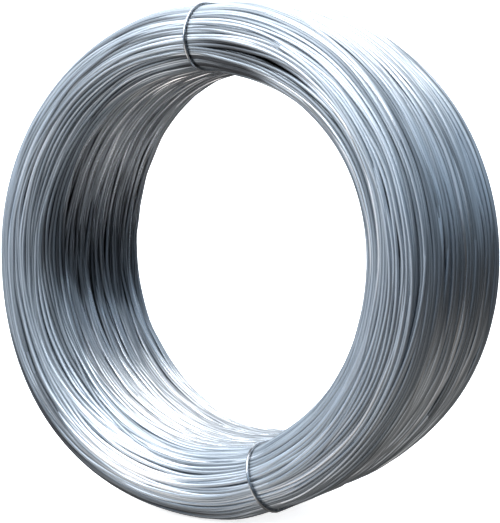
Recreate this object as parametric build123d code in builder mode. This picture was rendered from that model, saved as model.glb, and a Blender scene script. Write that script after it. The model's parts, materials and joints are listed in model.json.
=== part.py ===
"""Coil of galvanised steel wire, standing on its rim, held together by two tie wires.

The bore axis lies along Y and the origin is the middle of the bore. The wound wire is one
turned solid with its bore. Its turns show as ridges on the two rounded ends, and the rim is
grooved into bundles of turns. Each tie is a loop of wire that grips the winding, in a waist that
it pulls into it.
"""

import os
from math import atan2, cos, degrees, radians, sin

from build123d import *

# Driving sizes, in millimetres and degrees
wire_diameter = 4.0
bore_diameter = 350.0
radial_build = 68.0
coil_width = 180.0
turns_per_ridge = 2
turns_per_bundle = 7
groove_depth = 3.4
ridged_end_angle = 90.0

tie_diameter = 3.2
tie_sides = 6
tie_clearance = 0.3
waist_half_width = 16.0
tie_top_angle = 0.0
tie_bottom_angle = 160.0

tail_length = 28.0
tail_rise = 1.0
tail_tilt_angle = 62.0
tail_spread_share = 0.42

# Sizes worked out from them
bore_radius = bore_diameter / 2
rim_radius = bore_radius + radial_build
mean_radius = bore_radius + radial_build / 2
end_radius = radial_build / 2
land_width = coil_width - radial_build
ridge_width = turns_per_ridge * wire_diameter
bundle_width = turns_per_bundle * wire_diameter
waist_depth = tie_diameter + 2 * tie_clearance
tie_inset = waist_depth - tie_clearance - tie_diameter / 2
tie_angles = {"tie_top": tie_top_angle, "tie_bottom": tie_bottom_angle}


def end_point(angle, radius):
    """A point of the +Y end's round profile, at an angle from the end's crown."""
    return (
        mean_radius + radius * sin(radians(angle)),
        land_width / 2 + radius * cos(radians(angle)),
    )


def end_outline():
    """The +Y end from the bore to the rim: flat shoulders, and between them ridges side by side."""
    pitch_angle = degrees(ridge_width / end_radius)
    grooves = 2 * int(ridged_end_angle / pitch_angle / 2)
    first_angle = grooves * pitch_angle / 2
    shoulder_angle = (90 + first_angle) / 2
    points = [end_point(-90, end_radius), end_point(-shoulder_angle, end_radius)]
    for step in range(2 * grooves + 1):
        radius = end_radius - groove_depth * (step % 2)
        points.append(end_point(-first_angle + step * pitch_angle / 2, radius))
    points += [end_point(shoulder_angle, end_radius), end_point(90, end_radius)]
    return points


def rim_outline():
    """The rim from the +Y end to the -Y end: flat bundles of turns, with a groove between them."""
    bundles = round(land_width / bundle_width)
    points = []
    for groove in range(1, bundles):
        middle = land_width * (1 / 2 - groove / bundles)
        points.append((rim_radius, middle + ridge_width / 2))
        points.append((rim_radius - groove_depth, middle))
        points.append((rim_radius, middle - ridge_width / 2))
    return points


def tie_plane(angle):
    """The radial plane of a tie: its x runs outwards, at an angle from the top, its y along the bore."""
    outward = (sin(radians(angle)), 0, cos(radians(angle)))
    normal = (-cos(radians(angle)), 0, sin(radians(angle)))
    return Plane(origin=(0, 0, 0), x_dir=outward, z_dir=normal)


def waist_cut(angle):
    """What a tie squeezes out of the winding: all outside a core that narrows to the tie from both sides."""
    plane = tie_plane(angle)
    reach = 2 * waist_half_width
    taper = -degrees(atan2(waist_depth, waist_half_width))
    with BuildPart() as waist:
        with BuildSketch(plane):
            with Locations((mean_radius, 0)):
                Rectangle(radial_build + 2 * waist_depth, coil_width + 2 * waist_depth)
        extrude(amount=reach, both=True)
        with BuildSketch(plane) as core:
            with Locations((mean_radius, 0)):
                SlotCenterToCenter(land_width, radial_build - 2 * waist_depth, rotation=90)
        extrude(core.sketch, amount=reach, taper=taper, mode=Mode.SUBTRACT)
        extrude(core.sketch, amount=reach, dir=-plane.z_dir, taper=taper, mode=Mode.SUBTRACT)
    return waist.part


# The wound wire: its section, from one end over the rim to the other, is turned about the bore axis
with BuildPart() as coil:
    with BuildSketch():
        with BuildLine():
            near_end = [(radius, -width) for radius, width in reversed(end_outline())]
            Polyline(*end_outline(), *rim_outline(), *near_end, close=True)
        make_face()
    revolve(axis=Axis.Y)
    for angle in tie_angles.values():
        add(waist_cut(angle), mode=Mode.SUBTRACT)

os.makedirs("parts", exist_ok=True)
coil.part.label = "coil"
export_step(coil.part, "parts/coil.step")

# The ties: a wire bent into a loop about the winding, its two tails pressed together at the +Y end
for name, angle in tie_angles.items():
    plane = tie_plane(angle)
    crown = plane.from_local_coords((mean_radius, coil_width / 2 - tie_inset, 0))
    tail_axis = plane.y_dir.rotate(Axis((0, 0, 0), plane.x_dir), tail_tilt_angle)
    with BuildPart() as tie:
        with BuildSketch(plane, mode=Mode.PRIVATE) as loop:
            with Locations((mean_radius, 0)):
                SlotCenterToCenter(land_width, radial_build - 2 * tie_inset, rotation=90)
        route = loop.sketch.face().outer_wire()
        with BuildSketch(Plane(origin=route @ 0, z_dir=route % 0)):
            RegularPolygon(tie_diameter / 2, side_count=tie_sides)
        sweep(path=route)
        with BuildSketch(Plane(crown + tail_axis * tail_rise, x_dir=plane.x_dir, z_dir=tail_axis)):
            spread = tail_spread_share * tie_diameter
            with Locations((-spread, 0), (spread, 0)):
                RegularPolygon(tie_diameter / 2, side_count=tie_sides)
        extrude(amount=tail_length)
    tie.part.label = name
    export_step(tie.part, f"parts/{name}.step")
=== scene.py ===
"""Looks of a coil of galvanised steel wire that stands on its rim, held by two tie wires.

The wound solid is shown as its turns: rings of round wire that lie along the outline of the
winding's section, wave a little, sink between their neighbours and are drawn in under the ties.
Lengths are in metres. Angles round the bore axis start at the top and run to the right, as seen
from the near end. Those of swells, hollows and painted spots are in degrees, the others in
radians.
"""

import json
import logging
import math
from dataclasses import dataclass, field
from enum import Enum

import bmesh
import bpy
import numpy as np
from mathutils import Matrix, Vector


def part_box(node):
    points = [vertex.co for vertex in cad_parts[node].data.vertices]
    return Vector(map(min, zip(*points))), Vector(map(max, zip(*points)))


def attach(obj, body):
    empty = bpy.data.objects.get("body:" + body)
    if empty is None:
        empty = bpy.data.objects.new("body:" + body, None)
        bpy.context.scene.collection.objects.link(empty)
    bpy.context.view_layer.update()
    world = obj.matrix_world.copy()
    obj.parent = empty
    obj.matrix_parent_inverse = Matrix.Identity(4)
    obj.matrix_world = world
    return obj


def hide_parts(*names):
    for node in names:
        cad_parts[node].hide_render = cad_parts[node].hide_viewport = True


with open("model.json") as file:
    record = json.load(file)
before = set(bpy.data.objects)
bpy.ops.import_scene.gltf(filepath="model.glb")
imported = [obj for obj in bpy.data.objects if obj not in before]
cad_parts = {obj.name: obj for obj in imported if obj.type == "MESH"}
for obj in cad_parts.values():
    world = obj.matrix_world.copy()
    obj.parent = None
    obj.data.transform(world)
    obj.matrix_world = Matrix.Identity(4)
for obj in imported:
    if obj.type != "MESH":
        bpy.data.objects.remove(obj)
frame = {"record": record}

LOG = logging.getLogger("wire_coil")
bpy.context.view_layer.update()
PICTURE_WIDTH = 500
PICTURE_HEIGHT = 523
SENSOR_WIDTH = 36.0
MILLIMETRES_PER_METRE = 1000
WHOLE_TURN_DEGREES = 360.0
MERGE_DISTANCE = 1e-6
BORE_AXIS = (0, 1, 0)
WIRE_DIAMETER = 0.004
TIE_ANGLES = {"tie_top": 0.0, "tie_bottom": math.radians(160.0)}
SEED = 7
SEED_STEP = 1000
SEED_LIMIT = 1 << 30

Colour = tuple[float, float, float]
Stops = tuple[tuple[float, Colour], ...]


def short_way(angle: np.ndarray, whole: float) -> np.ndarray:
    """Reads angles the short way round.

    Args:
        angle: The angles.
        whole: A whole turn, in the same unit.

    Returns:
        The angles, from half a turn back to half a turn on.
    """
    return np.mod(angle + whole / 2, whole) - whole / 2


def bump(off: np.ndarray, spread: float | np.ndarray) -> np.ndarray:
    """Reads a rounded bump, 1 in its middle and 0 from its spread on.

    Args:
        off: How far from its middle it is read.
        spread: How far it reaches.

    Returns:
        Its heights.
    """
    return np.where(np.abs(off) < spread, np.cos(off / spread * math.pi / 2), 0.0)


def only(items: list, kind: type) -> list:
    """Picks the verts, or the edges, out of what a mesh operator made."""
    return [item for item in items if isinstance(item, kind)]


def linked_edges(verts: list[bmesh.types.BMVert]) -> list[bmesh.types.BMEdge]:
    """Lists the edges that meet at some verts, each once."""
    return list(dict.fromkeys(edge for vert in verts for edge in vert.link_edges))


def smooth_mesh(shape: bmesh.types.BMesh, name: str) -> bpy.types.Mesh:
    """Makes a smooth mesh of a finished shape.

    Args:
        shape: The shape, which is freed.
        name: The mesh's name.

    Returns:
        The mesh.
    """
    mesh = bpy.data.meshes.new(name)
    for face in shape.faces:
        face.smooth = True
    shape.to_mesh(mesh)
    shape.free()
    return mesh


def node_material(name: str) -> tuple[bpy.types.Material, bpy.types.ShaderNode]:
    """Starts a node material.

    Args:
        name: Its name.

    Returns:
        The material, and its shader.
    """
    material = bpy.data.materials.new(name)
    material.use_nodes = True
    return material, material.node_tree.nodes["Principled BSDF"]


def colour_ramp(tree: bpy.types.NodeTree, stops: Stops) -> bpy.types.ShaderNodeValToRGB:
    """Adds a ramp of colours to a node tree.

    Args:
        tree: The node tree.
        stops: Positions from 0 to 1, each with its colour.

    Returns:
        The ramp.
    """
    node = tree.nodes.new("ShaderNodeValToRGB")
    for _ in stops[2:]:
        node.color_ramp.elements.new(0.5)
    for element, (position, colour) in zip(node.color_ramp.elements, stops):
        element.position = position
        element.color = (*colour, 1.0)
    return node


class Region(Enum):
    """The four sides of the winding's section, by the names of their pieces."""

    RIM = "turns_on_the_rim"
    NEAR_END = "turns_on_the_near_end"
    BORE = "turns_in_the_bore"
    FAR_END = "turns_on_the_far_end"


@dataclass(frozen=True)
class Section:
    """The outline of the winding's section: two straight lands joined by two round ends.

    A place on it is the way along the outline, from the far end of the rim's land to the near
    end, across that end, back along the bore and across the far end. The bore's turns lap over a
    share of the far end.
    """

    bore_radius: float
    rim_radius: float
    half_width: float
    lay_depth: float
    bore_lap: float

    @property
    def end_radius(self) -> float:
        """Radius of the round ends."""
        return (self.rim_radius - self.bore_radius) / 2

    @property
    def mean_radius(self) -> float:
        """Radius of the middle of the winding."""
        return (self.rim_radius + self.bore_radius) / 2

    @property
    def land(self) -> float:
        """Length of the straight lands."""
        return 2 * (self.half_width - self.end_radius)

    @property
    def end_way(self) -> float:
        """Way across one round end, at the depth of the outer turns."""
        return math.pi * (self.end_radius - self.lay_depth)

    @property
    def way_round(self) -> float:
        """Way once round the outline."""
        return 2 * (self.land + self.end_way)

    def region(self, way: float) -> Region:
        """Tells which side of the section a place is on.

        Args:
            way: The way along the outline.

        Returns:
            The side.
        """
        way = way % self.way_round
        half = self.land + self.end_way
        if way < half:
            return Region.RIM if way < self.land else Region.NEAR_END
        bore_end = self.land + self.bore_lap * self.end_way
        return Region.BORE if way - half < bore_end else Region.FAR_END

    def place(self, way: np.ndarray, depth: np.ndarray) -> tuple[np.ndarray, np.ndarray]:
        """Works out where points of the section are.

        Args:
            way: The ways along the outline.
            depth: The depths below the outline.

        Returns:
            The distances from the bore axis, and the places along it.
        """
        half = self.land + self.end_way
        way = np.mod(way, self.way_round)
        side = np.where(way < half, 1.0, -1.0)
        along = np.mod(way, half)
        on_land = along < self.land
        turn = np.where(on_land, 0.0, (along - self.land) / self.end_way * math.pi)
        reach = self.end_radius - depth
        radius = self.mean_radius + side * reach * np.cos(turn)
        axial = np.where(on_land, self.land / 2 - along, -self.land / 2 - reach * np.sin(turn))
        return radius, side * axial


class End(Enum):
    """The ends of the winding, by the sign of their place along the bore."""

    NEAR = -1
    FAR = 1


class Wall(Enum):
    """The walls of the winding, by the sign of their distance from its middle."""

    BORE = -1
    RIM = 1


@dataclass(frozen=True)
class Swell:
    """A stretch of one edge of the winding that stands further out than the turned ring.

    It reaches as many degrees as its spread to both sides of its angle. A height below 0 stands
    further in.
    """

    end: End
    wall: Wall
    angle: float
    spread: float
    height: float


@dataclass(frozen=True)
class Settle:
    """How the tied winding has settled: pinched by its ties, and slack between them."""

    section: Section
    swells: tuple[Swell, ...] = (
        Swell(End.NEAR, Wall.RIM, angle=344.0, spread=70.0, height=-0.0080),
        Swell(End.NEAR, Wall.RIM, angle=227.0, spread=46.0, height=0.0080),
        Swell(End.FAR, Wall.RIM, angle=145.0, spread=42.0, height=-0.0075),
        Swell(End.FAR, Wall.RIM, angle=10.0, spread=35.0, height=0.0030),
        Swell(End.FAR, Wall.BORE, angle=330.0, spread=55.0, height=0.0100),
        Swell(End.NEAR, Wall.BORE, angle=65.0, spread=42.0, height=0.0040),
        Swell(End.NEAR, Wall.BORE, angle=5.0, spread=40.0, height=-0.0040),
    )

    def move(self, points: np.ndarray) -> np.ndarray:
        """Moves points of the turned ring to where the winding has settled.

        Args:
            points: The points, one in a row.

        Returns:
            The moved points.
        """
        turn = np.degrees(np.arctan2(points[:, 0], points[:, 2]))
        radius = np.hypot(points[:, 0], points[:, 2])
        along = points[:, 1] / self.section.half_width
        across = (radius - self.section.mean_radius) / self.section.end_radius
        grown = radius.copy()
        for swell in self.swells:
            off = short_way(turn - swell.angle, WHOLE_TURN_DEGREES)
            by_end = np.clip(0.5 + 0.5 * swell.end.value * along, 0.0, 1.0)
            by_wall = np.clip(0.5 + 0.5 * swell.wall.value * across, 0.0, 1.0)
            grown += swell.height * bump(off, swell.spread) ** 2 * by_end * by_wall
        share = grown / radius
        return np.column_stack((points[:, 0] * share, points[:, 1], points[:, 2] * share))

    def move_mesh(self, shape: bmesh.types.BMesh) -> None:
        """Moves a whole mesh in the same way.

        Args:
            shape: The mesh.
        """
        points = self.move(np.array([vert.co for vert in shape.verts]))
        for vert, point in zip(shape.verts, points):
            vert.co = point


@dataclass(frozen=True)
class Hollow:
    """A place on the near end where the turns part and those below lie deeper: a dark gap.

    Its middle is at a share of the way across the end, from the rim to the bore, and at an angle.
    The share slants by a part for each degree. The width is that of the sunken place, and
    steepness and fade say, in widths, how sharply the turns part and how far the parting reaches.
    """

    end_share: float
    angle: float
    spread: float
    width: float
    depth: float
    gap: float
    slant: float = 0.0
    steepness: float = 3.0
    fade: float = 3.0

    def open(
        self, section: Section, turn: np.ndarray, way: float,
    ) -> tuple[np.ndarray, np.ndarray]:
        """Works out how far open the hollow is where a turn passes it.

        Args:
            section: The winding's section.
            turn: Angles round the bore axis.
            way: The turn's place along the section's outline.

        Returns:
            How far open it is at each angle, from 0 to 1, and how far the turn is from its middle.
        """
        off = short_way(np.degrees(turn) - self.angle, WHOLE_TURN_DEGREES)
        middle = section.land + (self.end_share + self.slant * off) * section.end_way
        return bump(off, self.spread) ** 2, way - middle

    def sink(self, section: Section, turn: np.ndarray, way: float) -> np.ndarray:
        """Works out how much deeper a turn lies.

        Args:
            section: The winding's section.
            turn: Angles round the bore axis.
            way: The turn's place along the section's outline.

        Returns:
            The depths to add.
        """
        opened, away = self.open(section, turn, way)
        return self.depth * opened * np.exp(-((away / self.width) ** 2))

    def part(self, section: Section, turn: np.ndarray, way: float) -> np.ndarray:
        """Works out how far a turn is pushed aside.

        Args:
            section: The winding's section.
            turn: Angles round the bore axis.
            way: The turn's place along the section's outline.

        Returns:
            The ways to add.
        """
        opened, away = self.open(section, turn, way)
        aside = np.tanh(self.steepness * away / self.width)
        return self.gap / 2 * opened * aside * np.exp(-((away / (self.fade * self.width)) ** 2))


@dataclass(frozen=True)
class PaintedLightSpot:
    """A place on the near end, or in the bore behind it, where the zinc is painted darker as
    shade, or lighter as a highlight.

    Its middle is at a share of the way across the end, from the rim to the bore, and at an angle
    that slants by some degrees for each metre of way. It reaches some degrees before and after
    that angle, and each turn's stretch of it is out of line by about the ragged angle. A tone
    above 0 paints shade, darker than the rest, and one below 0 paints a highlight, brighter.
    """

    end_share: float
    angle: float
    before: float
    after: float
    width: float
    tone: float
    ragged: float
    slant: float = 0.0

    def sample(self, section: Section, turn: np.ndarray, way: float, stray: float) -> np.ndarray:
        """Works out how much painted shade, or painted highlight, a turn takes.

        Args:
            section: The winding's section.
            turn: Angles round the bore axis.
            way: The turn's place along the section's outline.
            stray: How far this turn's stretch is out of line, in ragged angles.

        Returns:
            The tones to add.
        """
        away = way - section.land - self.end_share * section.end_way
        middle = self.angle + self.slant * away + self.ragged * stray
        off = short_way(np.degrees(turn) - middle, WHOLE_TURN_DEGREES)
        spread = np.where(off < 0, self.before, self.after)
        return self.tone * bump(off, spread) * math.exp(-((away / self.width) ** 4))


@dataclass(frozen=True)
class Waves:
    """A smooth, repeatable swell over the winding, in step round a turn and round the section.

    It is a sum of waves, each with a number of crests round a turn and round the section's
    outline that is drawn within these limits.
    """

    count: int
    turn_crests: tuple[int, int]
    outline_crests: tuple[int, int] = (0, 0)
    height: float = 1.0
    seed: int = 0

    def sample(
        self, turn: np.ndarray, way_share: np.ndarray, seed: int = 0, scale: float = 1.0,
    ) -> np.ndarray:
        """Reads the swell.

        Args:
            turn: Angles round the bore axis.
            way_share: Ways along the section's outline, as shares of the way once round.
            seed: What to add to its seed.
            scale: How many times its height it has.

        Returns:
            The swell's height at each point.
        """
        rng = np.random.default_rng(self.seed + seed)
        total = np.zeros_like(turn)
        for _ in range(self.count):
            around = rng.integers(self.turn_crests[0], self.turn_crests[1] + 1)
            across = rng.integers(self.outline_crests[0], self.outline_crests[1] + 1)
            phase = rng.uniform(0, math.tau)
            slant = rng.choice((-1, 1))
            total += np.sin(around * turn + slant * across * math.tau * way_share + phase)
        return self.height * scale * total / math.sqrt(self.count / 2)


@dataclass(frozen=True)
class ZincWire:
    """Zinc-coated drawn wire, streaked along its length, each turn with tones of its own.

    A turn's tone and its streaks add up to a shade, from that of rubbed zinc to that of weathered
    zinc; the spots' painted highlight and painted shade lie at these two ends. The ramp of colours
    holds shades up to its range.
    """

    name: str
    bright: Colour
    dull: Colour
    roughness: tuple[float, float]
    # Rubbed and weathered zinc, also used for painted highlight and painted shade
    rubbed_and_painted_highlight: Colour = (0.95, 0.95, 0.96)
    weathered_and_painted_shade: Colour = (0.085, 0.09, 0.098)
    rubbed_and_highlight_level: float = 0.0
    bright_shade: float = 0.25
    dull_shade: float = 1.1
    weathered_and_shade_level: float = 1.9
    shade_range: float = 2.0
    rough_shades: tuple[float, float] = (0.2, 1.2)
    streak_share: float = 0.5
    streak_scale: tuple[float, float, float] = (14.0, 260.0, 1.0)
    streak_detail: float = 4.0

    def make(self) -> bpy.types.Material:
        """Builds the node material."""
        material, shader = node_material(self.name)
        nodes = material.node_tree.nodes
        links = material.node_tree.links
        shader.inputs["Metallic"].default_value = 1.0

        tone = nodes.new("ShaderNodeAttribute")
        tone.attribute_name = "turn_tone"
        lay = nodes.new("ShaderNodeUVMap")
        lay.uv_map = "wire_lay"
        stretch = nodes.new("ShaderNodeMapping")
        stretch.inputs["Scale"].default_value = self.streak_scale
        streaks = nodes.new("ShaderNodeTexNoise")
        streaks.inputs["Scale"].default_value = 1.0
        streaks.inputs["Detail"].default_value = self.streak_detail
        links.new(lay.outputs["UV"], stretch.inputs["Vector"])
        links.new(stretch.outputs["Vector"], streaks.inputs["Vector"])

        shade = nodes.new("ShaderNodeMath")
        shade.operation = "MULTIPLY_ADD"
        shade.inputs[1].default_value = self.streak_share
        links.new(streaks.outputs["Fac"], shade.inputs[0])
        links.new(tone.outputs["Fac"], shade.inputs[2])

        position = nodes.new("ShaderNodeMath")
        position.operation = "MULTIPLY"
        position.inputs[1].default_value = 1.0 / self.shade_range
        links.new(shade.outputs["Value"], position.inputs[0])
        # The rubbed and the weathered ends of the ramp also carry painted highlight and painted
        # shade
        colour = colour_ramp(material.node_tree, (
            (self.rubbed_and_highlight_level / self.shade_range, self.rubbed_and_painted_highlight),
            (self.bright_shade / self.shade_range, self.bright),
            (self.dull_shade / self.shade_range, self.dull),
            (self.weathered_and_shade_level / self.shade_range, self.weathered_and_painted_shade),
        ))
        links.new(position.outputs["Value"], colour.inputs["Fac"])
        links.new(colour.outputs["Color"], shader.inputs["Base Color"])

        rough = nodes.new("ShaderNodeMapRange")
        rough.inputs["From Min"].default_value = self.rough_shades[0]
        rough.inputs["From Max"].default_value = self.rough_shades[1]
        rough.inputs["To Min"].default_value = self.roughness[0]
        rough.inputs["To Max"].default_value = self.roughness[1]
        links.new(shade.outputs["Value"], rough.inputs["Value"])
        links.new(rough.outputs["Result"], shader.inputs["Roughness"])
        return material


@dataclass(frozen=True)
class PlainZinc:
    """Zinc with a fine mottle: weathered for the ties, and painted dark as shade for the inner
    turns.
    """

    name: str
    light: Colour
    dark: Colour
    roughness: tuple[float, float]
    grain: float = 420.0
    grain_detail: float = 5.0
    dark_position: float = 0.35
    light_position: float = 0.65

    def make(self) -> bpy.types.Material:
        """Builds the node material."""
        material, shader = node_material(self.name)
        nodes = material.node_tree.nodes
        links = material.node_tree.links
        shader.inputs["Metallic"].default_value = 1.0
        place = nodes.new("ShaderNodeTexCoord")
        mottle = nodes.new("ShaderNodeTexNoise")
        mottle.inputs["Scale"].default_value = self.grain
        mottle.inputs["Detail"].default_value = self.grain_detail
        links.new(place.outputs["Object"], mottle.inputs["Vector"])
        stops = ((self.dark_position, self.dark), (self.light_position, self.light))
        colour = colour_ramp(material.node_tree, stops)
        links.new(mottle.outputs["Fac"], colour.inputs["Fac"])
        links.new(colour.outputs["Color"], shader.inputs["Base Color"])
        rough = nodes.new("ShaderNodeMapRange")
        rough.inputs["To Min"].default_value = self.roughness[1]
        rough.inputs["To Max"].default_value = self.roughness[0]
        links.new(mottle.outputs["Fac"], rough.inputs["Value"])
        links.new(rough.outputs["Result"], shader.inputs["Roughness"])
        return material


class Layer(Enum):
    """How a turn lies: over others, in the outer layer or in the one below.

    The value sets the turns of a layer, in half pitches, between those of the others, and tells
    the layers' waves apart.
    """

    RIDER = 0
    OUTER = 1
    UNDER = 2


@dataclass
class Ring:
    """A plain ring of round wire, spun at the middle of the winding, that is bent to a turn."""

    mean_radius: float
    sides: int
    steps: int
    corners: np.ndarray = field(init=False)
    turn: np.ndarray = field(init=False)
    out: np.ndarray = field(init=False)
    along: np.ndarray = field(init=False)
    unrolled: np.ndarray = field(init=False)

    def __post_init__(self) -> None:
        """Spins the ring, measures its points and unrolls its faces."""
        points, self.corners = self.spin()
        self.turn = np.arctan2(points[:, 0], points[:, 2])
        self.out = np.hypot(points[:, 0], points[:, 2]) - self.mean_radius
        self.along = points[:, 1]
        lengthways = self.unroll(self.turn) * self.mean_radius
        crossways = self.unroll(np.arctan2(self.along, self.out)) * WIRE_DIAMETER / 2
        self.unrolled = np.stack((lengthways, crossways), axis=-1).reshape(-1, 2)

    def spin(self) -> tuple[np.ndarray, np.ndarray]:
        """Spins the ring.

        Returns:
            Its points, and the corners of its faces.
        """
        shape = bmesh.new()
        upright = Matrix.Rotation(math.pi / 2, 4, "Y")
        upright = Matrix.Translation((0, 0, self.mean_radius)) @ upright
        bmesh.ops.create_circle(
            shape, segments=self.sides, radius=WIRE_DIAMETER / 2, matrix=upright,
        )
        bmesh.ops.spin(
            shape, geom=shape.edges[:], cent=(0, 0, 0), axis=BORE_AXIS,
            angle=math.tau, steps=self.steps, use_merge=True,
        )
        bmesh.ops.recalc_face_normals(shape, faces=shape.faces[:])
        shape.verts.index_update()
        points = np.array([vert.co for vert in shape.verts])
        corners = np.array([[vert.index for vert in face.verts] for face in shape.faces])
        shape.free()
        return points, corners

    def unroll(self, angle: np.ndarray) -> np.ndarray:
        """Reads an angle at the corners of the faces, without a jump inside a face.

        Args:
            angle: The angle at each point.

        Returns:
            The angle at each corner.
        """
        at_corners = angle[self.corners]
        jump = np.round((at_corners - at_corners[:, :1]) / math.tau)
        return at_corners - math.tau * jump

    def bend(self, radius: np.ndarray, axial: np.ndarray) -> np.ndarray:
        """Bends the ring to a turn.

        Args:
            radius: Distances of the turn from the bore axis, at the angles of the ring's points.
            axial: Its places along that axis.

        Returns:
            The ring's points, one in a row.
        """
        radius = radius + self.out
        across, up = radius * np.sin(self.turn), radius * np.cos(self.turn)
        return np.column_stack((across, axial + self.along, up))


@dataclass
class Strand:
    """One turn as it lies: the ring it is bent from, its points, its tones and its streaks."""

    ring: Ring
    points: np.ndarray
    tone: np.ndarray
    streak_shift: float


@dataclass(frozen=True)
class Side:
    """How the turns on one side of the section look.

    It holds their finish, how far they ripple in depth one by one and in groups, and how far the
    tone of patches strays.
    """

    finish: bpy.types.Material
    ripple: float
    groups: float
    patches: float


@dataclass(frozen=True)
class Lay:
    """How the turns run: how they stray along the section's outline, and how deep they lie.

    Some waves are shared by all the turns, and the own ones are drawn for each turn. The shares
    say how much less a layer sways, sinks into a hollow or parts at one than the other does.
    """

    section: Section
    sides: dict[Region, Side]
    hollows: tuple[Hollow, ...] = (
        Hollow(
            end_share=0.59, angle=30.0, spread=34.0, width=0.0050, depth=0.0026, gap=0.0075,
            slant=0.0006,
        ),
        Hollow(end_share=0.45, angle=300.0, spread=50.0, width=0.0025, depth=0.0022, gap=0.0010),
        Hollow(end_share=0.36, angle=215.0, spread=40.0, width=0.0025, depth=0.0020, gap=0.0010),
    )
    sway: Waves = Waves(9, (1, 4), (3, 12), height=0.0011, seed=11)
    fine_sway: Waves = Waves(9, (2, 6), (10, 26), height=0.0006, seed=12)
    groups: Waves = Waves(9, (1, 3), (40, 75), seed=21)
    own_sway: Waves = Waves(3, (1, 5), height=0.0004)
    own_fine_sway: Waves = Waves(4, (8, 18), height=0.0003)
    own_ripple: Waves = Waves(4, (8, 16))
    own_sink: Waves = Waves(4, (1, 4))
    rider_sway: Waves = Waves(2, (1, 2), height=0.005)
    under_sway_share: float = 0.4
    outer_hollow_share: float = 0.3
    under_part_share: float = 0.35
    ripple_clearance: float = 1.2
    sink: float = 0.0006
    sink_contrast: float = 1.4
    under_depth: float = 0.0023
    waist_depth: float = 0.0034
    waist_reach: float = 0.026

    def run(
        self, turn: np.ndarray, way: float, layer: Layer, order: int,
    ) -> tuple[np.ndarray, np.ndarray]:
        """Works out how one turn runs along the winding.

        Args:
            turn: Angles round the bore axis.
            way: The turn's place along the section's outline.
            layer: How the turn lies.
            order: The turn's number, which seeds its own waves.

        Returns:
            Its ways along the outline and its depths, at those angles.
        """
        rng = np.random.default_rng(SEED * SEED_STEP + order)
        under = layer is Layer.UNDER
        side = self.sides[self.section.region(way)]
        share = np.full_like(turn, way / self.section.way_round)

        def own(waves: Waves, scale: float = 1.0) -> np.ndarray:
            """Samples waves that this turn alone has."""
            return waves.sample(turn, share, int(rng.integers(SEED_LIMIT)), scale)

        sway = self.sway.sample(turn, share)
        fine_sway = self.fine_sway.sample(turn, share, layer.value)
        ways = way + (self.under_sway_share if under else 1.0) * sway + fine_sway
        ways = ways + own(self.own_sway) + own(self.own_fine_sway)
        groups = self.groups.sample(turn, share, scale=side.groups)
        ripple = own(self.own_ripple, side.ripple)
        clearance = self.ripple_clearance * math.hypot(side.groups, side.ripple)
        depths = WIRE_DIAMETER / 2 + np.maximum(groups + ripple + clearance, 0.0)
        sunk = 0.5 + 0.5 * np.tanh(self.sink_contrast * own(self.own_sink))
        depths = depths + self.sink * sunk
        for hollow in self.hollows:
            deeper = hollow.sink(self.section, turn, way)
            aside = hollow.part(self.section, turn, way)
            depths = depths + (1.0 if under else self.outer_hollow_share) * deeper
            ways = ways + (self.under_part_share if under else 1.0) * aside
        if layer is Layer.RIDER:
            ways = ways + own(self.rider_sway)
            depths = np.full_like(turn, WIRE_DIAMETER / 2)
        if under:
            depths = depths + self.under_depth
        tight = WIRE_DIAMETER / 2 + self.waist_depth + under * self.under_depth
        for angle in TIE_ANGLES.values():
            off = short_way(turn - angle, math.tau) * self.section.mean_radius
            pull = np.exp(-((off / self.waist_reach) ** 2))
            depths = depths + pull * (tight - depths)
        return ways, depths


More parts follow.
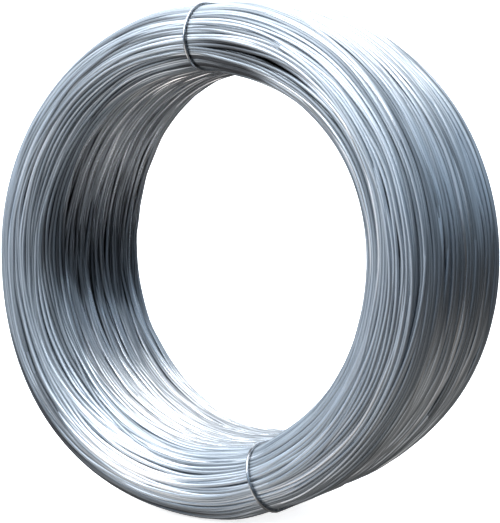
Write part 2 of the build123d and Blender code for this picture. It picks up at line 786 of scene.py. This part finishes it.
@dataclass(frozen=True)
class WireTurns:
    """The turns of wire on the outside of the winding, and those that show between them.

    A packing is the pitch of a layer's turns in wire diameters, and the jitter is a share of it.
    """

    lay: Lay
    settle: Settle
    spots: tuple[PaintedLightSpot, ...] = (
        # The two dark lines right of the top tie: painted shade
        PaintedLightSpot(0.83, angle=17.0, before=26.0, after=10.0, width=0.014, tone=1.3, ragged=1.5),
        PaintedLightSpot(0.58, angle=18.0, before=20.0, after=22.0, width=0.0034, tone=1.2, ragged=1.0),
        # The dark edge at the lower left: painted shade
        PaintedLightSpot(0.12, angle=206.0, before=46.0, after=46.0, width=0.023, tone=1.7, ragged=3.0),
        # Two faint stretches on the left: painted shade
        PaintedLightSpot(0.45, angle=345.0, before=62.0, after=62.0, width=0.045, tone=0.36, ragged=8.0),
        PaintedLightSpot(0.45, angle=246.0, before=42.0, after=42.0, width=0.050, tone=0.34, ragged=8.0),
        # The dark stretch on the left of the bore: painted shade
        PaintedLightSpot(
            1.55, angle=258.5, before=6.0, after=44.0, width=0.085, tone=0.78, ragged=2.5,
            slant=-100.0,
        ),
        # The bright place at the lower left: a painted highlight
        PaintedLightSpot(0.48, angle=196.0, before=22.0, after=28.0, width=0.037, tone=-0.75, ragged=4.0),
    )
    outer_sides: int = 8
    outer_steps: int = 160
    under_sides: int = 6
    under_steps: int = 120
    outer_packing: float = 0.71
    under_packing: float = 1.06
    jitter: float = 0.12
    riders: int = 12
    patches: Waves = Waves(9, (1, 3), (28, 48), seed=31)
    tone_weights: tuple[float, float] = (2.0, 2.6)
    # The turns of the layer below are drawn duller: painted shade between the outer turns
    under_painted_shade: float = 0.15
    streak_range: float = 10.0

    @property
    def section(self) -> Section:
        """The winding's section."""
        return self.lay.section

    def turns(self) -> list[tuple[float, Layer]]:
        """Lists the turns: the place of each along the outline, and how it lies."""
        rng = np.random.default_rng(SEED)
        way_round = self.section.way_round
        packings = {Layer.OUTER: self.outer_packing, Layer.UNDER: self.under_packing}
        listed = []
        for layer, packing in packings.items():
            count = int(way_round / (WIRE_DIAMETER * packing))
            for number in range(count):
                place = number + layer.value / 2 + rng.uniform(-self.jitter, self.jitter)
                listed.append((place / count * way_round, layer))
        for _ in range(self.riders):
            listed.append((rng.uniform(0, way_round), Layer.RIDER))
        return listed

    def tone(
        self, turn: np.ndarray, way: float, layer: Layer, rng: np.random.Generator,
    ) -> np.ndarray:
        """Draws the tones of one turn.

        Args:
            turn: Angles round the bore axis.
            way: The turn's place along the section's outline.
            layer: How the turn lies.
            rng: What the draws come from.

        Returns:
            Its tones at those angles.
        """
        side = self.lay.sides[self.section.region(way)]
        share = np.full_like(turn, way / self.section.way_round)
        patches = self.patches.sample(turn, share, scale=side.patches)
        tone = rng.beta(*self.tone_weights) + self.under_painted_shade * (layer is Layer.UNDER) + patches
        stray = rng.normal()
        # The spots add painted shade and a painted highlight to the turn's tones
        for spot in self.spots:
            tone = tone + spot.sample(self.section, turn, way, stray)
        return tone

    def build(self) -> None:
        """Lays the turns, and joins those of each side of the section into one piece."""
        rng = np.random.default_rng(SEED + 1)
        outer = Ring(self.section.mean_radius, self.outer_sides, self.outer_steps)
        under = Ring(self.section.mean_radius, self.under_sides, self.under_steps)
        gathered: dict[Region, list[Strand]] = {region: [] for region in Region}
        for order, (way, layer) in enumerate(self.turns()):
            ring = under if layer is Layer.UNDER else outer
            ways, depths = self.lay.run(ring.turn, way, layer, order)
            points = self.settle.move(ring.bend(*self.section.place(ways, depths)))
            tone = self.tone(ring.turn, way, layer, rng)
            strand = Strand(ring, points, tone, rng.uniform(0, self.streak_range))
            gathered[self.section.region(way)].append(strand)
        for region, strands in gathered.items():
            self.join(region, strands)

    def join(self, region: Region, strands: list[Strand]) -> None:
        """Makes one piece of the turns on one side of the section.

        Args:
            region: The side.
            strands: Its turns.
        """
        starts = np.cumsum([0] + [len(strand.points) for strand in strands[:-1]])
        points = np.concatenate([strand.points for strand in strands])
        faces = np.concatenate([
            strand.ring.corners + start for strand, start in zip(strands, starts)
        ])
        tones = np.concatenate([strand.tone for strand in strands])
        streaks = np.concatenate([
            strand.ring.unrolled + strand.streak_shift for strand in strands
        ])
        mesh = bpy.data.meshes.new(region.value)
        mesh.from_pydata(points.tolist(), [], faces.tolist())
        mesh.polygons.foreach_set("use_smooth", np.ones(len(faces), dtype=bool))
        turn_tone = mesh.attributes.new("turn_tone", "FLOAT", "POINT")
        turn_tone.data.foreach_set("value", tones.astype(np.float32))
        wire_lay = mesh.uv_layers.new(name="wire_lay")
        wire_lay.data.foreach_set("uv", streaks.astype(np.float32).ravel())
        mesh.materials.append(self.lay.sides[region].finish)
        mesh.update()
        piece = bpy.data.objects.new(region.value, mesh)
        bpy.context.scene.collection.objects.link(piece)
        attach(piece, "root")
        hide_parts("coil")
        LOG.info("%s: %d turns, %d triangles", region.value, len(strands), 2 * len(faces))


def finish_piece(
    shape: bmesh.types.BMesh, name: str, finish: bpy.types.Material,
) -> bpy.types.Object:
    """Makes a smooth piece of a finished shape and lets it ride with the coil.

    Args:
        shape: The shape, which is freed.
        name: The piece's name.
        finish: Its material.

    Returns:
        The piece.
    """
    mesh = smooth_mesh(shape, name)
    mesh.materials.append(finish)
    piece = bpy.data.objects.new(name, mesh)
    bpy.context.scene.collection.objects.link(piece)
    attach(piece, "root")
    LOG.info("%s: %d faces", name, len(mesh.polygons))
    return piece


@dataclass(frozen=True)
class InnerWinding:
    """The mass of inner turns that shows only between the outer ones, painted dark as shade."""

    section: Section
    settle: Settle
    finish: bpy.types.Material
    depth: float = 0.0100
    end_steps: int = 12
    steps: int = 96

    def build(self) -> None:
        """Draws the section's outline and spins it about the bore axis."""
        mean_radius = self.section.mean_radius
        reach = self.section.end_radius - self.depth
        land_end = self.section.land / 2
        shape = bmesh.new()
        last = shape.verts.new((0, land_end, mean_radius + reach))
        for side in (-1, 1):
            corner = shape.verts.new((0, side * land_end, mean_radius - side * reach))
            shape.edges.new((last, corner))
            spun = bmesh.ops.spin(
                shape, geom=[corner], cent=(0, side * land_end, mean_radius), axis=(1, 0, 0),
                angle=-math.pi, steps=self.end_steps,
            )
            last = only(spun["geom_last"], bmesh.types.BMVert)[0]
        bmesh.ops.remove_doubles(shape, verts=shape.verts[:], dist=MERGE_DISTANCE)
        bmesh.ops.spin(
            shape, geom=shape.edges[:], cent=(0, 0, 0), axis=BORE_AXIS,
            angle=math.tau, steps=self.steps, use_merge=True,
        )
        bmesh.ops.remove_doubles(shape, verts=shape.verts[:], dist=MERGE_DISTANCE)
        bmesh.ops.recalc_face_normals(shape, faces=shape.faces[:])
        self.settle.move_mesh(shape)
        finish_piece(shape, "inner_turns", self.finish)


@dataclass(frozen=True)
class TieWire:
    """A tie: a loop of wire round the winding, its ends twisted together at the far end."""

    name: str
    node: str
    angle: float
    section: Section
    settle: Settle
    finish: bpy.types.Material
    diameter: float = 0.0028
    inset: float = 0.0019
    sides: int = 12
    bend_steps: int = 20
    twist_tilt: float = math.radians(62.0)
    twist_pitch: float = 0.013
    twist_length: float = 0.025
    twist_start: float = 0.0025
    twist_steps: int = 40

    def build(self) -> None:
        """Bends the loop, twists its tails and sets the tie in its plane."""
        shape = bmesh.new()
        self.loop(shape)
        for side in (-1, 1):
            self.tail(shape, side)
        bmesh.ops.recalc_face_normals(shape, faces=shape.faces[:])
        outward = Vector((math.sin(self.angle), 0, math.cos(self.angle)))
        along = Vector(BORE_AXIS)
        plane = Matrix((outward, along, outward.cross(along))).transposed().to_4x4()
        bmesh.ops.transform(shape, matrix=plane, verts=shape.verts[:])
        self.settle.move_mesh(shape)
        piece = finish_piece(shape, self.name, self.finish)
        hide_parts(self.node)

    def loop(self, shape: bmesh.types.BMesh) -> None:
        """Bends the loop round the section, its plane's x outwards and y along the bore.

        Args:
            shape: The mesh that takes it.
        """
        section = self.section
        reach = section.end_radius - self.inset
        start = Vector((section.mean_radius + reach, section.land / 2, 0))
        upright = Matrix.Translation(start) @ Matrix.Rotation(math.pi / 2, 4, "X")
        made = bmesh.ops.create_circle(
            shape, segments=self.sides, radius=self.diameter / 2, matrix=upright,
        )
        ring = linked_edges(made["verts"])
        for side in (-1, 1):
            run = bmesh.ops.extrude_edge_only(shape, edges=ring)["geom"]
            verts = only(run, bmesh.types.BMVert)
            bmesh.ops.translate(shape, verts=verts, vec=(0, side * section.land, 0))
            ring = [
                edge for edge in only(run, bmesh.types.BMEdge)
                if all(vert in verts for vert in edge.verts)
            ]
            spun = bmesh.ops.spin(
                shape, geom=ring, cent=(section.mean_radius, side * section.land / 2, 0),
                axis=(0, 0, 1), angle=-math.pi, steps=self.bend_steps,
            )
            ring = only(spun["geom_last"], bmesh.types.BMEdge)
        bmesh.ops.remove_doubles(shape, verts=shape.verts[:], dist=MERGE_DISTANCE)

    def tail(self, shape: bmesh.types.BMesh, side: int) -> None:
        """Winds one of the two tails about the other.

        Args:
            shape: The mesh that takes it.
            side: 1 or -1, the side of the twist that the tail starts on.
        """
        axis = Vector((0, math.cos(self.twist_tilt), math.sin(self.twist_tilt)))
        crown = Vector((self.section.mean_radius, self.section.half_width - self.inset, 0))
        start = crown + axis * self.twist_start
        facing = axis.to_track_quat("Z", "X").to_matrix().to_4x4()
        offset = Matrix.Translation(start + Vector((side * self.diameter / 2, 0, 0)))
        made = bmesh.ops.create_circle(
            shape, segments=self.sides, radius=self.diameter / 2, matrix=offset @ facing,
            cap_ends=True,
        )
        spun = bmesh.ops.spin(
            shape, geom=linked_edges(made["verts"]), cent=start, axis=axis,
            dvec=axis * (self.twist_length / self.twist_steps),
            angle=math.tau * self.twist_length / self.twist_pitch, steps=self.twist_steps,
        )
        end = only(spun["geom_last"], bmesh.types.BMEdge)
        bmesh.ops.holes_fill(shape, edges=end, sides=self.sides)


@dataclass(frozen=True)
class SkyPart:
    """A part of the light all round: its colours by height, and where it takes over.

    Heights run from -1, straight down, to 1, straight up. It takes over towards a direction, and
    its reach is how far along that direction this starts and ends.
    """

    stops: Stops
    way: tuple[float, float, float]
    reach: tuple[float, float]


@dataclass(frozen=True)
class Lamp:
    """A soft square lamp that looks at the coil: its place, its side's length and its watts."""

    name: str
    place: tuple[float, float, float]
    size: float
    power: float


FRONT_SKY: Stops = (
    (-1.0, (0.12, 0.115, 0.11)),
    (-0.75, (0.46, 0.455, 0.45)),
    (-0.45, (0.62, 0.625, 0.635)),
    (-0.1, (0.27, 0.33, 0.40)),
    (0.05, (0.27, 0.36, 0.47)),
    (0.25, (0.38, 0.51, 0.69)),
    (0.45, (0.52, 0.69, 0.90)),
    (0.7, (0.66, 0.83, 1.04)),
    (1.0, (1.7, 1.75, 1.8)),
)
BACK_SKY: Stops = (
    (-1.0, (0.05, 0.05, 0.05)),
    (-0.7, (0.07, 0.068, 0.066)),
    (-0.52, (0.28, 0.27, 0.265)),
    (-0.36, (0.08, 0.08, 0.083)),
    (-0.18, (0.06, 0.062, 0.068)),
    (-0.08, (0.22, 0.26, 0.31)),
    (0.05, (0.34, 0.42, 0.51)),
    (0.2, (0.60, 0.77, 0.96)),
    (0.3, (1.6, 1.82, 2.05)),
    (1.0, (2.0, 2.05, 2.1)),
)
RIGHT_SKY: Stops = (
    (-1.0, (0.12, 0.115, 0.11)),
    (-0.6, (0.26, 0.25, 0.24)),
    (-0.4, (0.13, 0.125, 0.12)),
    (-0.25, (0.026, 0.026, 0.027)),
    (0.15, (0.022, 0.023, 0.025)),
    (0.18, (0.25, 0.32, 0.40)),
    (0.3, (0.27, 0.355, 0.455)),
    (0.45, (0.31, 0.40, 0.50)),
    (0.64, (0.50, 0.60, 0.72)),
    (1.0, (1.6, 1.65, 1.7)),
)
BRIGHT_FLOOR: Stops = (
    (-1.0, (1.9, 1.78, 1.68)),
    (1.0, (1.9, 1.78, 1.68)),
)


@dataclass(frozen=True)
class Studio:
    """Floor, light and camera."""

    floor_height: float
    floor_radius: float = 2.6
    sweep_radius: float = 1.2
    sweep_steps: int = 12
    wall_height: float = 1.0
    wall_steps: int = 64
    floor_colour: Colour = (0.9, 0.9, 0.9)
    floor_roughness: float = 0.9
    floor_glow: float = 0.7
    sky_parts: tuple[SkyPart, ...] = (
        SkyPart(BACK_SKY, way=(-0.6, 0.8, 0.0), reach=(-0.2, 0.5)),
        SkyPart(RIGHT_SKY, way=(0.95, 0.3, 0.0), reach=(0.0, 0.5)),
        SkyPart(RIGHT_SKY, way=(0.75, -0.66, 0.0), reach=(0.74, 0.94)),
        SkyPart(BRIGHT_FLOOR, way=(-0.56, -0.53, -0.64), reach=(0.86, 1.0)),
    )
    lamps: tuple[Lamp, ...] = (
        Lamp("key", place=(-0.48, -1.18, 0.78), size=0.8, power=11.0),
        Lamp("front", place=(0.0, -1.30, 0.90), size=0.8, power=1.0),
        Lamp("overhead", place=(-0.06, -0.66, 1.32), size=1.0, power=13.0),
    )
    azimuth: float = 34.2
    elevation: float = 3.6
    distance: float = 1.482
    lens: float = 111.3
    coil_pixel: tuple[float, float] = (238.9, 256.3)

    def floor(self) -> None:
        """Lays the pale floor, which sweeps up into a wall all round."""
        shape = bmesh.new()
        middle = shape.verts.new((0, 0, self.floor_height))
        edge = shape.verts.new((self.floor_radius, 0, self.floor_height))
        shape.edges.new((middle, edge))
        sweep_middle = (self.floor_radius, 0, self.floor_height + self.sweep_radius)
        swept = bmesh.ops.spin(
            shape, geom=[edge], cent=sweep_middle, axis=(0, 1, 0),
            angle=-math.pi / 2, steps=self.sweep_steps,
        )
        wall = bmesh.ops.extrude_vert_indiv(shape, verts=swept["geom_last"])["verts"]
        bmesh.ops.translate(shape, verts=wall, vec=(0, 0, self.wall_height))
        bmesh.ops.spin(
            shape, geom=shape.edges[:], cent=(0, 0, 0), axis=(0, 0, 1),
            angle=math.tau, steps=self.wall_steps, use_merge=True,
        )
        bmesh.ops.remove_doubles(shape, verts=shape.verts[:], dist=MERGE_DISTANCE)
        mesh = smooth_mesh(shape, "floor")
        material, shader = node_material("pale_floor")
        shader.inputs["Base Color"].default_value = (*self.floor_colour, 1.0)
        shader.inputs["Roughness"].default_value = self.floor_roughness
        shader.inputs["Emission Color"].default_value = (1.0, 1.0, 1.0, 1.0)
        shader.inputs["Emission Strength"].default_value = self.floor_glow
        mesh.materials.append(material)
        floor = bpy.data.objects.new("floor", mesh)
        floor.visible_glossy = False
        floor.visible_shadow = False
        bpy.context.scene.collection.objects.link(floor)

    def hang(self, lamp: Lamp) -> None:
        """Hangs a lamp.

        Args:
            lamp: The lamp.
        """
        light = bpy.data.lights.new(lamp.name, "AREA")
        light.size = lamp.size
        light.energy = lamp.power
        place = Vector(lamp.place)
        hung = bpy.data.objects.new(lamp.name, light)
        hung.location = place
        hung.rotation_euler = (-place).to_track_quat("-Z", "Y").to_euler()
        bpy.context.scene.collection.objects.link(hung)

    def by_height(
        self, tree: bpy.types.NodeTree, stops: Stops, height: bpy.types.NodeSocket,
    ) -> bpy.types.NodeSocket:
        """Colours the sky by height.

        Args:
            tree: The world's node tree.
            stops: Heights from -1 to 1, each with its colour.
            height: The height that is looked at, from 0 to 1.

        Returns:
            The colour there.
        """
        ramp = colour_ramp(tree, tuple((0.5 + 0.5 * level, colour) for level, colour in stops))
        tree.links.new(height, ramp.inputs["Fac"])
        return ramp.outputs["Color"]

    def blend(
        self, tree: bpy.types.NodeTree, rest: bpy.types.NodeSocket, part: SkyPart,
        height: bpy.types.NodeSocket,
    ) -> bpy.types.NodeSocket:
        """Blends a part of the sky into the rest, by direction.

        Args:
            tree: The world's node tree.
            rest: The colour of the rest.
            part: The part.
            height: The height that is looked at, from 0 to 1.

        Returns:
            The blended colour.
        """
        look = tree.nodes.new("ShaderNodeTexCoord")
        along = tree.nodes.new("ShaderNodeVectorMath")
        along.operation = "DOT_PRODUCT"
        along.inputs[1].default_value = part.way
        share = tree.nodes.new("ShaderNodeMapRange")
        share.interpolation_type = "SMOOTHSTEP"
        share.inputs["From Min"].default_value = part.reach[0]
        share.inputs["From Max"].default_value = part.reach[1]
        mix = tree.nodes.new("ShaderNodeMix")
        mix.data_type = "RGBA"
        # A mix node has sockets for each data type: 6, 7 and 2 are those for colours
        tree.links.new(look.outputs["Generated"], along.inputs[0])
        tree.links.new(along.outputs["Value"], share.inputs["Value"])
        tree.links.new(share.outputs["Result"], mix.inputs["Factor"])
        tree.links.new(rest, mix.inputs[6])
        tree.links.new(self.by_height(tree, part.stops, height), mix.inputs[7])
        return mix.outputs[2]

    def sky(self) -> None:
        """Makes the soft light all round.

        It is pale blue above and dim below, dark low down at the right, and a bright floor shows
        at the lower left.
        """
        world = bpy.data.worlds.new("studio")
        world.use_nodes = True
        tree = world.node_tree
        look = tree.nodes.new("ShaderNodeTexCoord")
        split = tree.nodes.new("ShaderNodeSeparateXYZ")
        height = tree.nodes.new("ShaderNodeMapRange")
        height.inputs["From Min"].default_value = -1.0
        tree.links.new(look.outputs["Generated"], split.inputs["Vector"])
        tree.links.new(split.outputs["Z"], height.inputs["Value"])
        whole = self.by_height(tree, FRONT_SKY, height.outputs["Result"])
        for part in self.sky_parts:
            whole = self.blend(tree, whole, part, height.outputs["Result"])
        tree.links.new(whole, tree.nodes["Background"].inputs["Color"])
        bpy.context.scene.world = world

    def camera(self) -> None:
        """Sets the camera where the photograph was taken from."""
        azimuth = math.radians(self.azimuth)
        elevation = math.radians(self.elevation)
        away = Vector((
            math.sin(azimuth) * math.cos(elevation),
            -math.cos(azimuth) * math.cos(elevation),
            math.sin(elevation),
        ))
        data = bpy.data.cameras.new("camera")
        data.sensor_fit = "HORIZONTAL"
        data.sensor_width = SENSOR_WIDTH
        data.lens = self.lens
        data.shift_x = (PICTURE_WIDTH / 2 - self.coil_pixel[0]) / PICTURE_WIDTH
        data.shift_y = (self.coil_pixel[1] - PICTURE_HEIGHT / 2) / PICTURE_WIDTH
        camera = bpy.data.objects.new("camera", data)
        camera.location = away * self.distance
        camera.rotation_euler = away.to_track_quat("Z", "Y").to_euler()
        bpy.context.scene.collection.objects.link(camera)
        bpy.context.scene.camera = camera

    def build(self) -> None:
        """Sets up the studio."""
        self.floor()
        self.sky()
        for lamp in self.lamps:
            self.hang(lamp)
        self.camera()
        bpy.context.scene.view_settings.view_transform = "Standard"


def main() -> None:
    """Builds the coil's looks and the studio."""
    logging.basicConfig(level=logging.INFO)
    low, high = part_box("coil")
    bore = next(mount for mount in frame["record"]["mounts"] if mount["name"] == "bore")
    section = Section(
        bore_radius=bore["dims"]["r_mm"] / MILLIMETRES_PER_METRE,
        rim_radius=high.x,
        half_width=high.y,
        lay_depth=WIRE_DIAMETER / 2,
        bore_lap=0.32,
    )
    settle = Settle(section)
    # The copies of the zinc for the rim and for the bore are lighter than that of the ends:
    # painted light
    end_zinc = ZincWire(
        "zinc_wire",
        bright=(0.65, 0.70, 0.75), dull=(0.30, 0.335, 0.37), roughness=(0.42, 0.56),
    ).make()
    rim_zinc = ZincWire(
        "rim_zinc_wire_painted_lighter",
        bright=(0.79, 0.835, 0.88), dull=(0.38, 0.415, 0.45), roughness=(0.30, 0.46),
    ).make()
    bore_zinc = ZincWire(
        "bore_zinc_wire_painted_lighter",
        bright=(0.70, 0.72, 0.745), dull=(0.33, 0.345, 0.365), roughness=(0.22, 0.36),
    ).make()
    # The inner turns' zinc is painted dark as shade between the outer turns
    zinc_in_painted_shade = PlainZinc(
        "zinc_in_painted_shade",
        light=(0.40, 0.41, 0.43), dark=(0.24, 0.245, 0.26), roughness=(0.4, 0.6),
    ).make()
    tie_zinc = PlainZinc(
        "tie_zinc",
        light=(0.60, 0.62, 0.65), dark=(0.40, 0.41, 0.43), roughness=(0.18, 0.32),
    ).make()
    end_side = Side(end_zinc, ripple=0.0003, groups=0.0006, patches=0.25)
    sides = {
        Region.RIM: Side(rim_zinc, ripple=0.0005, groups=0.0010, patches=0.30),
        Region.NEAR_END: end_side,
        Region.BORE: Side(bore_zinc, ripple=0.0006, groups=0.0009, patches=0.22),
        Region.FAR_END: end_side,
    }
    WireTurns(Lay(section, sides), settle).build()
    InnerWinding(section, settle, zinc_in_painted_shade).build()
    for node, angle in TIE_ANGLES.items():
        TieWire(f"{node}_wire", node, angle, section, settle, tie_zinc).build()
    Studio(floor_height=low.z).build()


if __name__ == "__main__":
    main()
